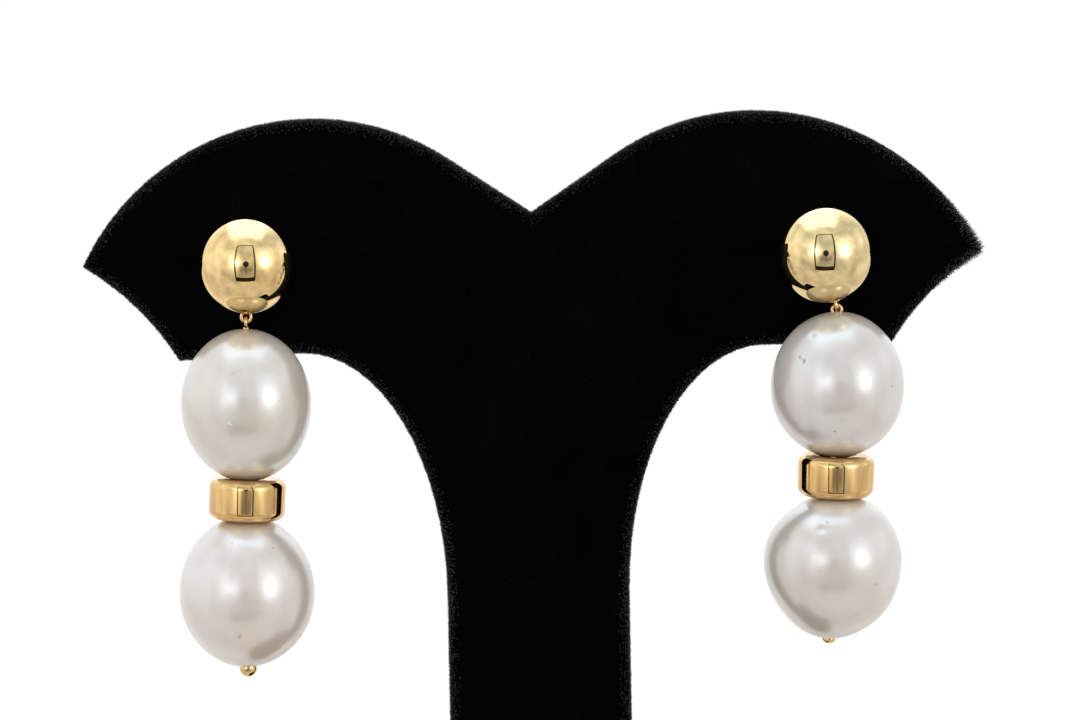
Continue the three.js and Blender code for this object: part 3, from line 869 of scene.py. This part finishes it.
def makeFloor():
    bm = bmesh.new()
    bmesh.ops.create_circle(bm, cap_ends=True, segments=96, radius=floorDisc["radius"])
    mesh = bpy.data.meshes.new("floor")
    bm.to_mesh(mesh)
    bm.free()
    floor = bpy.data.objects.new("floor", mesh)
    scene.collection.objects.link(floor)
    material, tree, shader = newMaterial("paleFloor")
    coords = addNode(tree, "ShaderNodeTexCoord")
    grain = addNode(tree, "ShaderNodeTexNoise", Scale=30.0, Detail=3.0)
    link(tree, coords.outputs["Object"], grain.inputs["Vector"])
    tint = addNode(tree, "ShaderNodeMix", data_type="RGBA")
    tint.inputs[6].default_value = (*floorDisc["colour"], 1)
    tint.inputs[7].default_value = (*(floorDisc["mottle"] * part for part in floorDisc["colour"]), 1)
    link(tree, grain.outputs[0], tint.inputs[0])
    link(tree, tint.outputs[2], shader.inputs["Base Color"])
    reach = addNode(tree, "ShaderNodeVectorMath", operation="LENGTH")
    link(tree, coords.outputs["Object"], reach.inputs[0])
    fade = addNode(tree, "ShaderNodeMapRange", interpolation_type="SMOOTHSTEP")
    fade.inputs["From Min"].default_value = floorDisc["fadeFrom"]
    fade.inputs["From Max"].default_value = floorDisc["radius"]
    fade.inputs["To Min"].default_value = 1.0
    fade.inputs["To Max"].default_value = 0.0
    link(tree, reach.outputs["Value"], fade.inputs["Value"])
    link(tree, fade.outputs[0], shader.inputs["Alpha"])
    shader.inputs["Roughness"].default_value = 0.9
    shader.inputs["Specular IOR Level"].default_value = 0.1
    mesh.materials.append(material)
    floor.visible_glossy = False  # the polished gold mirrors the tent alone


# What the camera takes: its place in metres, and its tilt and roll in degrees
shot = {
    "place": (0.000665, -0.4402, 0.1193), "elevation": 3.5, "roll": 1.1, "lens": 130.0, "sensor": 36.0,
}

# The light tent round the stand: soft walls, lamps glowing through them, and the slot for the lens.
# Lamps are azimuth and elevation in degrees from straight in front, spread in degrees, and strength.
# The slot and what stands in it are given by slopes sideways and upwards from the stand.
tent = {
    "foot": 0.72, "wall": 0.8, "roof": 1.0, "foldDepth": 1.8, "foldLift": 0.08,
    "footTint": (1.0, 0.96, 0.94), "wallTint": (0.985, 0.985, 1.0), "roofTint": (0.9, 0.95, 1.0),
    "lamps": [
        (45, 10, 17, 1.35), (45, 6, 8, 3.6), (-24, 9, 13, 2.4), (-23, 8, 6, 2.6),
        (-75, 10, 30, 0.3), (180, 5, 60, 0.45),
    ],
    "slotShade": 0.22, "slotHalf": 0.47, "slotTop": 1.16, "slotFoot": -0.76, "slotAside": 0.05,
    "slotLine": 0.075, "footLine": 0.17, "lens": 0.125, "lensSoft": 0.02, "deepest": 0.97, "white": 1.05,
    "stem": {"half": 0.026, "soft": 0.014, "under": 0.16, "tall": 0.16, "tallSoft": 0.05, "shade": 0.85},
    "body": {"half": 0.3, "soft": 0.1, "under": 0.13, "tall": 0.14, "tallSoft": 0.08, "shade": 0.55},
}


def makeWorld():
    world = bpy.data.worlds.new("tent")
    scene.world = world
    world.use_nodes = True
    tree = world.node_tree

    def calc(operation, a, b=None):
        node = addNode(tree, "ShaderNodeMath", operation=operation)
        for i, value in enumerate((a, b)):
            if isinstance(value, (int, float)):
                node.inputs[i].default_value = value
            elif value is not None:
                link(tree, value, node.inputs[i])
        return node.outputs[0]

    def inside(value, limit, soft=0.006):
        # 1 where the value is under the limit, 0 over it, with a soft step
        node = addNode(tree, "ShaderNodeMapRange", interpolation_type="SMOOTHSTEP")
        node.inputs["From Min"].default_value = limit - soft
        node.inputs["From Max"].default_value = limit + soft
        node.inputs["To Min"].default_value = 1.0
        node.inputs["To Max"].default_value = 0.0
        link(tree, value, node.inputs["Value"])
        return node.outputs[0]

    coords = addNode(tree, "ShaderNodeTexCoord")
    split = addNode(tree, "ShaderNodeSeparateXYZ")
    link(tree, coords.outputs["Generated"], split.inputs[0])
    x, y, z = split.outputs
    height = calc("ADD", calc("MULTIPLY", z, 0.5), 0.5)

    def rampUp(foot, middle, roof):
        ramp = addNode(tree, "ShaderNodeValToRGB")
        ramp.color_ramp.interpolation = "EASE"
        tones = ramp.color_ramp.elements
        tones[0].position = 0.25
        tones[0].color = (*foot, 1)
        tones[1].position = 0.8
        tones[1].color = (*roof, 1)
        tones.new(0.52).color = (*middle, 1)
        link(tree, height, ramp.inputs[0])
        return ramp

    walls = rampUp([tent["foot"]] * 3, [tent["wall"]] * 3, [tent["roof"]] * 3)
    tints = rampUp(tent["footTint"], tent["wallTint"], tent["roofTint"])
    cloth = addNode(tree, "ShaderNodeTexNoise", Scale=2.0, Detail=3.0, Roughness=0.5)
    link(tree, coords.outputs["Generated"], cloth.inputs["Vector"])
    folds = calc("ADD", calc("MULTIPLY", cloth.outputs[0], tent["foldDepth"]), tent["foldLift"])
    total = calc("MULTIPLY", walls.outputs[0], folds)
    for azimuth, elevation, spread, strength in tent["lamps"]:
        a = radians(azimuth)
        e = radians(elevation)
        facing = addNode(tree, "ShaderNodeVectorMath", operation="DOT_PRODUCT")
        facing.inputs[1].default_value = (math.cos(e) * math.sin(a), -math.cos(e) * math.cos(a), math.sin(e))
        link(tree, coords.outputs["Generated"], facing.inputs[0])
        away = calc("SUBTRACT", 1.0, facing.outputs["Value"])
        fall = calc("MULTIPLY", away, -1 / (1 - math.cos(radians(spread))))
        glow = calc("MULTIPLY", calc("EXPONENT", fall), strength)
        total = calc("ADD", total, glow)
    front = calc("MAXIMUM", calc("MULTIPLY", y, -1.0), 0.001)
    sideways = calc("DIVIDE", x, front)
    across = calc("ABSOLUTE", sideways)
    frameAcross = calc("ABSOLUTE", calc("ADD", sideways, tent["slotAside"]))
    rise = calc("DIVIDE", z, front)
    centre = (tent["slotTop"] + tent["slotFoot"]) / 2
    half = (tent["slotTop"] - tent["slotFoot"]) / 2
    level = calc("ABSOLUTE", calc("SUBTRACT", rise, centre))
    outer = calc("MULTIPLY", inside(frameAcross, tent["slotHalf"]), inside(level, half))
    innerHalf = tent["slotHalf"] - tent["slotLine"]
    inner = calc("MULTIPLY", inside(frameAcross, innerHalf), inside(level, half - tent["slotLine"]))
    below = inside(rise, tent["slotFoot"] + tent["footLine"] + tent["slotLine"])
    line = calc("SUBTRACT", outer, calc("MULTIPLY", inner, calc("SUBTRACT", 1.0, below)))
    lensRise = calc("SUBTRACT", rise, math.tan(radians(shot["elevation"])))
    lensReach = calc("SQRT", calc("ADD", calc("POWER", across, 2.0), calc("POWER", lensRise, 2.0)))
    dark = calc("MAXIMUM", line, inside(lensReach, tent["lens"], tent["lensSoft"]))
    for patch in (tent["stem"], tent["body"]):
        drop = calc("ABSOLUTE", calc("ADD", rise, patch["under"]))
        wide = inside(across, patch["half"], patch["soft"])
        shape = calc("MULTIPLY", wide, inside(drop, patch["tall"], patch["tallSoft"]))
        dark = calc("MAXIMUM", dark, calc("MULTIPLY", shape, patch["shade"]))
    ahead = calc("GREATER_THAN", calc("MULTIPLY", y, -1.0), 0.05)
    dark = calc("MAXIMUM", dark, calc("MULTIPLY", outer, tent["slotShade"]))
    clear = calc("SUBTRACT", 1.0, calc("MULTIPLY", calc("MULTIPLY", dark, ahead), tent["deepest"]))
    total = calc("MULTIPLY", total, clear)
    # What the camera sees behind the stand is plain white
    path = addNode(tree, "ShaderNodeLightPath")
    white = calc("MULTIPLY", path.outputs["Is Camera Ray"], tent["white"])
    mirrored = calc("MULTIPLY", total, calc("SUBTRACT", 1.0, path.outputs["Is Camera Ray"]))
    link(tree, calc("MAXIMUM", white, mirrored), tree.nodes["Background"].inputs["Strength"])
    shade = addNode(tree, "ShaderNodeMix", data_type="RGBA")
    link(tree, path.outputs["Is Camera Ray"], shade.inputs[0])
    link(tree, tints.outputs[0], shade.inputs[6])
    shade.inputs[7].default_value = (1, 1, 1, 1)
    link(tree, shade.outputs[2], tree.nodes["Background"].inputs["Color"])


# The strength is the brightness of the lamp's face, where 1 is the background's white
roofLight = {
    "place": (-0.03, 0.16, 0.46), "aim": (-0.03, 0.16, 0), "size": (0.5, 0.78), "strength": 1.25,
    "colour": (0.7, 0.83, 1.0), "softEdge": 0.2,
}


def makeRoofLight():
    wide, deep = roofLight["size"]
    light = bpy.data.lights.new("roofLight", "AREA")
    light.shape = "RECTANGLE"
    light.size = wide
    light.size_y = deep
    light.energy = roofLight["strength"] * math.pi * wide * deep
    light.color = roofLight["colour"]
    # Its face fades out towards its four edges
    light.use_nodes = True
    tree = light.node_tree
    face = addNode(tree, "ShaderNodeNewGeometry")
    split = addNode(tree, "ShaderNodeSeparateXYZ")
    link(tree, face.outputs["Parametric"], split.inputs[0])
    product = addNode(tree, "ShaderNodeMath", operation="MULTIPLY")
    for i in range(2):
        fold = addNode(tree, "ShaderNodeMath", operation="PINGPONG")
        fold.inputs[1].default_value = 0.5
        link(tree, split.outputs[i], fold.inputs[0])
        fade = addNode(tree, "ShaderNodeMapRange", interpolation_type="SMOOTHSTEP")
        fade.inputs["From Max"].default_value = roofLight["softEdge"]
        link(tree, fold.outputs[0], fade.inputs["Value"])
        link(tree, fade.outputs[0], product.inputs[i])
    link(tree, product.outputs[0], tree.nodes["Emission"].inputs["Strength"])
    lamp = bpy.data.objects.new("roofLight", light)
    way = Vector(roofLight["aim"]) - Vector(roofLight["place"])
    lamp.location = roofLight["place"]
    lamp.rotation_euler = way.to_track_quat("-Z", "Y").to_euler()
    lamp.visible_camera = False
    scene.collection.objects.link(lamp)


def makeCamera():
    camera = bpy.data.cameras.new("camera")
    camera.sensor_width = shot["sensor"]
    camera.lens = shot["lens"]
    camera.clip_start = 0.01
    camera.clip_end = 20.0
    view = bpy.data.objects.new("camera", camera)
    elevation = radians(shot["elevation"])
    roll = radians(shot["roll"])
    back = Vector((0, -math.cos(elevation), math.sin(elevation)))
    level = Vector((1, 0, 0))
    up = Vector((0, math.sin(elevation), math.cos(elevation)))
    across = level * math.cos(roll) - up * math.sin(roll)
    upright = up * math.cos(roll) + level * math.sin(roll)
    turn = Matrix((across, upright, back)).transposed().to_4x4()
    view.matrix_world = Matrix.Translation(shot["place"]) @ turn
    scene.collection.objects.link(view)
    scene.camera = view


makeFloor()
makeWorld()
makeRoofLight()
makeCamera()
scene.view_settings.view_transform = "Standard"
print("floor, light and camera made")
